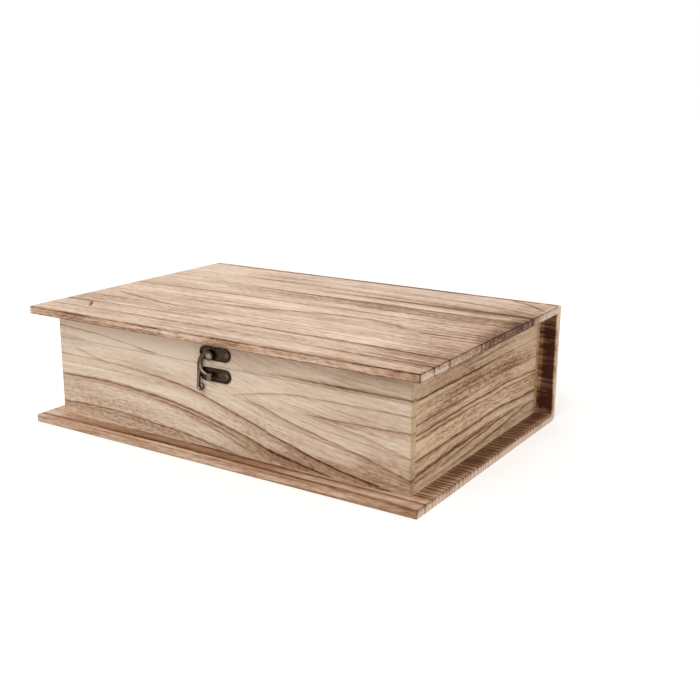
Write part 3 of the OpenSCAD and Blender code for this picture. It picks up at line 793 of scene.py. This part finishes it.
# %% Lines of the top cover
COVER_TONES = ("#efd5bf", "#a78265", "#4c2d20")
TOP_LINES = [
    (2.0, 4.0, [(-172, 91, 0.3), (-60, 90, 0.4), (20, 86, 0.35), (100, 83, 0.5), (150, 74, 0.5),
                (166, 69, 0.4), (172, 67, 0.1)]),
    (2.2, 5.0, [(-172, 70, 0.45), (-60, 71.5, 0.6), (30, 68.5, 0.6), (100, 65, 0.35),
                (150, 58, 0.35), (172, 55, 0.5)]),
    (4.0, 7.0, [(-60, 56, 0.0), (0, 55.6, 0.45), (60, 55.6, 0.6), (160, 57, 0.6),
                (172, 57, 0.5)]),
    (2.0, -12.0, [(-140, 40, 0.1), (-60, 40.5, 0.5), (50, 39.5, 0.75), (160, 38.2, 0.8),
                  (172, 38, 0.4)]),
    (1.6, 4.0, [(40, 22, 0.0), (90, 21.5, 0.4), (172, 20.5, 0.4)]),
    (2.0, 5.0, [(-172, 2, 0.3), (-120, 4.5, 0.55), (0, 5.5, 0.45), (100, 6.5, 0.6),
                (172, 5, 0.35)]),
    (2.2, 3.0, [(-158, -37, 0.0), (-145, -41, 0.6), (-105, -50, 0.75), (-82, -53.5, 0.5),
                (-74, -56, 0.0)]),
    (3.6, -9.0, [(-48, -28, 0.0), (-20, -26, 0.45), (20, -17, 0.55), (60, -11, 0.4),
                 (90, -14, 0.45), (112, -21, 0.0)]),
    (1.8, -6.0, [(-172, -77, 0.4), (-100, -76, 0.6), (0, -75.5, 0.6), (90, -75.5, 0.7),
                 (172, -79, 0.8)]),
    (1.8, -6.0, [(-172, -97, 0.4), (0, -97, 0.5), (172, -100.5, 0.75)]),
    (3.2, 2.0, [(-146, -79, 0.0), (-141, -84, 1.0), (-137, -89, 1.2), (-132, -95, 0.0)]),
    (2.2, 4.0, [(128, 112, 0.0), (137, 108, 0.7), (157, 97, 0.8), (166, 89, 0.6),
                (172, 84, 0.1)]),
    (2.2, 3.0, [(116, -11, 0.0), (136, -12.5, 0.65), (172, -12.5, 0.5)]),
    (1.8, 3.0, [(118, -20, 0.0), (140, -18.5, 0.6), (172, -19, 0.5)]),
    (2.4, 3.0, [(120, -28, 0.0), (134, -26.5, 0.9), (150, -25.5, 0.7), (172, -25.5, 0.5)]),
    (1.6, 3.0, [(132, -34, 0.0), (155, -32, 0.7), (172, -32.5, 0.5)]),
]
TOP_FLOW = [(-172, 0), (90, 0), (172, -6)]
print("top cover lines:", len(TOP_LINES))

# %% Top cover
TOP_PATCHES = [
    # Burnt patch on the right end
    ((180, 5, 92), (24, 54, 60), 0.6, 0.6),
    # Browner and paler planks of the top face
    ((60, 29, 95), (180, 12, 20), 0.2, 0.4),
    ((110, 60, 95), (100, 12, 20), 0.35, 0.0),
    ((-10, -31, 95), (60, 8, 10), 0.12, 0.0),
    ((-20, -6, 95), (90, 8, 10), -0.25, 0.0),
    ((-150, -62, 95), (70, 9, 10), 0.3, 0.2),
    ((200, 10, 95), (110, 140, 10), 0.32, 0.15),
    # Front edge with its scorched stretches
    ((0, -119, 92), (400, 3, 9), 0.29, 0.2),
    ((-60, -119, 92), (50, 3, 9), -0.12, 0.1),
    ((-127, -119, 92), (17, 3, 9), 0.3, 0.2),
    ((18, -119, 92), (18, 3, 9), 0.25, 0.2),
    ((160, -119, 92), (18, 3, 9), 0.25, 0.2),
    # Painted light towards the rear left corner, and paler and browner ends and corners
    ((-190, 100, 95), (120, 50, 10), -0.3, 0.0),
    ((120, -66, 95), (120, 7, 10), -0.25, 0.0),
    ((176, 94, 91), (8, 34, 9), -0.55, 0.15),
    ((176, 38, 95), (20, 20, 10), 0.45, 0.0),
    ((176, -100, 91), (5, 60, 9), -0.65, 0.0),
    ((165, -85, 95), (60, 40, 5), 0.3, 0.1),
    ((-174, -119, 92), (4, 6, 9), -0.8, 0.0),
]
# The spine is glued on behind, so the cover's rear edge isn't burnt: its box is stretched past it
JOINT_MM = Vector((0, 10, 0))
cover = box_mm("top_cover")
past_joint = (cover[0], Vector(cover[1]) + JOINT_MM)
top_board = board_material(
    "top_cover_of_burnt_paulownia", cover, "X", "Y", TOP_LINES, TOP_FLOW, COVER_TONES,
    tone=0.33, contrast=0.56, edges=1.05, seed=0.11, coarse=1.7, outer=past_joint,
    patches=TOP_PATCHES)
dress(top_board, "top_cover")
print("top cover patches:", len(TOP_PATCHES))

# %% [markdown]
# ## Bottom cover
#
# The bottom cover is browner, and quarter sawn at its right end, where close dark stripes come out
# beside the block. Its sawn end is pale under a dark upper edge. The ledge in front of the block
# and the strip beside it are browner wood with painted shade over it, where the block and the top
# cover's overhang shade them. The stripes are too many to place one by one. The sine of a large
# step never repeats within the few dozen stripes and is the same each time the scene is made, so
# it scatters them and their darkness.

# %% Bottom cover
STRIPE_MM = 4.8
STRIPE_WOBBLE_MM = 1.3
WOBBLE_STEP = 5.1
FIRST_STRIPE_MM = -98
STRIPES = 43


def scattered(step, at):
    """A share from 0 to 1 that differs from one line to the next."""
    return math.sin(step * at) ** 2


stripes = [FIRST_STRIPE_MM + STRIPE_MM * i + STRIPE_WOBBLE_MM * math.sin(WOBBLE_STEP * i)
           for i in range(STRIPES)]
BOTTOM_TONES = ("#ecd3bc", "#a27d60", "#52321c")
BOTTOM_LINES = [
    (2.2, 5.0, [(-172, -114.5, 0.8), (60, -115, 0.8), (172, -119, 0.3)]),
    (2.0, 4.0, [(-30, -102, 0.0), (10, -104.5, 0.7), (100, -106.5, 0.8), (172, -108, 0.5)]),
] + [(1.3, 2.5, [(-172, y - 3, 0.4), (0, y + 1.5, 0.1 + 0.4 * scattered(3, y)), (130, y, 0.45),
                 (170, y, 0.75 + 0.9 * scattered(7, y)), (172, y, 0.4)]) for y in stripes]
BOTTOM_PATCHES = [
    # Pale sawn end
    ((175, 20, 1.5), (4, 400, 4.5), -1.3, 0.0),
    # Ledge in front of the block: browner wood, and painted shade where the block and the top
    # cover's overhang shade it
    ((-26, -108, 6.5), (126, 9, 3.5), 0.5, 0.2),
    ((-167, -105, 6.5), (14, 24, 4), -0.35, 0.0),
    # Strip beside the block: painted shade where the block and the top cover's overhang shade it,
    # over darker stripes
    ((164, 20, 6.5), (9, 150, 3.5), 0.85, 0.0),
    ((164, 110, 6.5), (9, 40, 3.5), 0.3, 0.0),
    # Front edge
    ((80, -119, 3), (130, 3, 9), 0.09, 0.1),
]
bottom_board = board_material(
    "bottom_cover_of_burnt_paulownia", box_mm("bottom_cover"), "X", "Y", BOTTOM_LINES,
    [(-172, 0), (40, 4), (172, 3)], BOTTOM_TONES, tone=0.62, contrast=0.5, edges=0.5, seed=0.43,
    patches=BOTTOM_PATCHES)
dress(bottom_board, "bottom_cover")
print("stripes of the bottom cover:", len(stripes))

# %% [markdown]
# ## Spine
#
# The spine was one board too, until the saw parted it. Inside, in the recess behind the block, its
# wood is burnt darker, and patches add painted shade where the covers and the block shade the
# recess, with a few paler bands between. Its sawn ends are pale. A second material for the dark
# recess would end in a hard border, so patches darken the same wood.

# %% Spine
SPINE_TONES = ("#ebd0b8", "#9c7455", "#402114")
SPINE_HEIGHTS = (5, 15, 23, 36, 42, 54, 60, 72, 79, 90)
SPINE_LINES = [
    (0.9 + 0.6 * scattered(1, z), 3.0 + 4.0 * scattered(2, z),
     [(-172.3, z - 4, 0.0), (-170, z - 4, 0.6),
      (0, z + 2 + math.sin(z), 0.4 + 0.5 * scattered(3, z)),
      (170, z, 0.4 + 0.5 * scattered(5, z)), (172.3, z, 0.0)]) for z in SPINE_HEIGHTS]
SPINE_PATCHES = [
    # Painted shade in the recess behind the block, over its darker wood
    ((0, 110.5, 40), (400, 3.4, 70), 0.95, 0.0),
    ((0, 110.5, 16), (400, 3.4, 15), 0.9, 0.0),
    ((170, 110.5, 45), (8, 3.4, 90), 0.35, 0.0),
    ((-170, 110.5, 45), (8, 3.4, 90), 0.35, 0.0),
    # Three darker bands in the recess, and a paler one over them
    ((0, 110.5, 73), (400, 3.4, 6), 0.45, 0.0),
    ((0, 110.5, 60), (400, 3.4, 4.5), 0.4, 0.0),
    ((0, 110.5, 42), (400, 3.4, 5.5), 0.45, 0.0),
    ((0, 110.5, 84), (400, 3.4, 7), -0.15, 0.0),
    # Lighter beside the block's rear corners
    ((159, 110.5, 55), (3.4, 3.4, 120), -0.7, 0.0),
    ((-159, 110.5, 55), (3.4, 3.4, 120), -0.7, 0.0),
    # Pale sawn ends
    ((173, 114, 50), (2, 30, 120), -1.6, 0.0),
    ((-173, 114, 50), (2, 30, 120), -1.6, 0.0),
]
spine_board = board_material(
    "spine_of_burnt_paulownia", box_mm("spine_lower", "spine_upper"), "X", "Z", SPINE_LINES,
    [(-172, 0), (0, 6), (172, 4)], SPINE_TONES, tone=0.62, contrast=0.45, edges=0.15, seed=0.73,
    patches=SPINE_PATCHES)
dress(spine_board, "spine_lower", "spine_upper")
print("spine lines:", len(SPINE_LINES))

# %% [markdown]
# ## Antique bronze
#
# The clasp and the hinges are cast or pressed, plated with bronze and darkened with a sulphur bath,
# so that they look old. Tumbling them afterwards rubs the dark film off whatever stands out. The
# same things make it here: a film that is sooty where it is thick and brown where it is thin,
# bright bronze under it, and a mask that says how much of the film is gone. A Bevel node rounds
# the normals near an edge, so the angle between the rounded and the real normal finds the edges at
# any mesh density, and ambient occlusion finds the hollows, where the film stays. On the hook, a
# curve over the direction of its normal brightens the side that faces up, right and forward: a
# painted highlight. Bare bronze is smoother than the film, so it shines more.

# %% How far the film is rubbed off
# The uneven skin of the casting, as a mark of the wood is given, and what it adds to the share
CAST_SKIN = ((2.4, 2.4, 2.4), 11.0, 3.0)
CAST_SHARE, CAST_LESS = 0.3, 0.12
RUBBED_MM = 0.8
# Cosines of the turn between the rounded and the real normal, where an edge begins and is full
EDGE_COSINES = (0.99, 0.80)
# A hollow keeps all its film at the first share of open sky, and at the second no more of it than
# an open face does
HOLLOW_MM = 3.0
HOLLOW_SKY = (0.35, 0.95)
# Painted highlight on what faces this side: (cosine of the angle to it, share) points
HIGHLIGHT_SIDE = Vector((0.4, -0.75, 0.5)).normalized()
HIGHLIGHT_CURVE = [(0.7, 0.0), (0.78, 0.1), (0.87, 1.0), (1.0, 1.0)]
# What stands out in front is rubbed from the first depth on, and fully at the second
FRONT_MM = (-104.4, -106.6)
MASK_SAMPLES = 8


def rubbed_off(tree, place, cast, rubbed, edges, painted_highlight, proud):
    """Share of the film that is gone, before and after the hollows keep theirs."""
    own = add(tree, "ShaderNodeTexCoord").outputs["Normal"]
    towards = add(tree, VECTOR, [own, HIGHLIGHT_SIDE], operation="DOT_PRODUCT").outputs["Value"]
    # A painted highlight on the side that faces HIGHLIGHT_SIDE
    highlighted_share = drawn(add(tree, CURVE, {"Value": towards}), HIGHLIGHT_CURVE)
    depth = add(tree, "ShaderNodeSeparateXYZ", [place]).outputs["Y"]
    in_front = add(tree, RANGE, {"Value": depth, "From Min": FRONT_MM[0], "From Max": FRONT_MM[1]})
    rounded = add(tree, "ShaderNodeBevel", {"Radius": RUBBED_MM * MM}, samples=MASK_SAMPLES)
    normal = add(tree, "ShaderNodeNewGeometry").outputs["Normal"]
    flat = add(tree, VECTOR, [rounded, normal], operation="DOT_PRODUCT").outputs["Value"]
    edge = add(tree, RANGE, {
        "Value": flat, "From Min": EDGE_COSINES[0], "From Max": EDGE_COSINES[1]})
    sky = add(tree, "ShaderNodeAmbientOcclusion", {"Distance": HOLLOW_MM * MM},
              samples=MASK_SAMPLES).outputs["AO"]
    open_share = add(tree, RANGE, {
        "Value": sky, "From Min": HOLLOW_SKY[0], "From Max": HOLLOW_SKY[1]})
    gone = add(tree, MATH, [cast, CAST_SHARE, rubbed - CAST_LESS], operation="MULTIPLY_ADD")
    for source, share in ((edge, edges), (highlighted_share, painted_highlight), (in_front, proud)):
        gone = add(tree, MATH, [source, share, gone], operation="MULTIPLY_ADD")
    return gone, add(tree, MATH, [gone, open_share], operation="MULTIPLY", use_clamp=True)


print("the film is rubbed off the edges over mm:", RUBBED_MM)

# %% Bronze with a worn film
SOOT, FILM, BRONZE = "#1a110c", "#46342a", "#c4b4a0"
# The film turns from soot to brown as the share that is gone goes from minus this to this
THIN_FILM = 0.2
BRONZE_ROUGHNESS = (0.48, 0.28)
CAST_DEPTH = 0.06 * MM
CAST_STRENGTH = 0.5


def old_bronze(name, rubbed, edges, painted_highlight=0.0, proud=0.0):
    """Bronze under a dark film. rubbed is the share of the film that is gone on open faces. edges,
    painted_highlight and proud are what sharp edges, a painted highlight on the side that faces
    HIGHLIGHT_SIDE, and parts in front add to it."""
    material, tree = new_material(name)
    place = place_in_mm(tree)
    cast = blotches(tree, place, *CAST_SKIN)
    gone, bright = rubbed_off(tree, place, cast, rubbed, edges, painted_highlight, proud)
    thin = add(tree, RANGE, {"Value": gone, "From Min": -THIN_FILM, "From Max": THIN_FILM})
    film = add(tree, MIX, {"Factor": thin, COLOUR_A: linear(SOOT), COLOUR_B: linear(FILM)},
               data_type="RGBA").outputs[MIXED]
    colour = add(tree, MIX, {"Factor": bright, COLOUR_A: film, COLOUR_B: linear(BRONZE)},
                 data_type="RGBA").outputs[MIXED]
    roughness = add(tree, RANGE, {
        "Value": bright, "To Min": BRONZE_ROUGHNESS[0], "To Max": BRONZE_ROUGHNESS[1]})
    bump = add(tree, "ShaderNodeBump", {
        "Height": cast, "Distance": CAST_DEPTH, "Strength": CAST_STRENGTH})
    shader = add(tree, "ShaderNodeBsdfPrincipled", {
        "Base Color": colour, "Metallic": 1.0, "Roughness": roughness, "Normal": bump})
    add(tree, "ShaderNodeOutputMaterial", [shader])
    return material


print("roughness of the film and of bare bronze:", BRONZE_ROUGHNESS)

# %% Dress the clasp and the hinges
METAL = [name for name in nodes if name not in BLOCK + SHELL]
SCREWS = [name for name in METAL if "screws" in name]

dress(old_bronze("antique_bronze_dark_film", 0.02, -0.3, proud=0.15), *METAL)
# The hook gets a painted highlight on its side that faces up, right and forward
dress(old_bronze("antique_bronze_painted_highlight", 0.05, -0.2, painted_highlight=0.34), "swing_hook")
dress(old_bronze("antique_bronze_rubbed_bright", 0.45, 0.2),
      "hook_rivet", "hinge_pin_left", "hinge_pin_right")
dress(old_bronze("antique_bronze_screws", 0.06, 0.2), *SCREWS)
for name in METAL:
    ease(name, 0)
print("bronze pieces:", len(METAL), "of them sets of screws:", len(SCREWS))
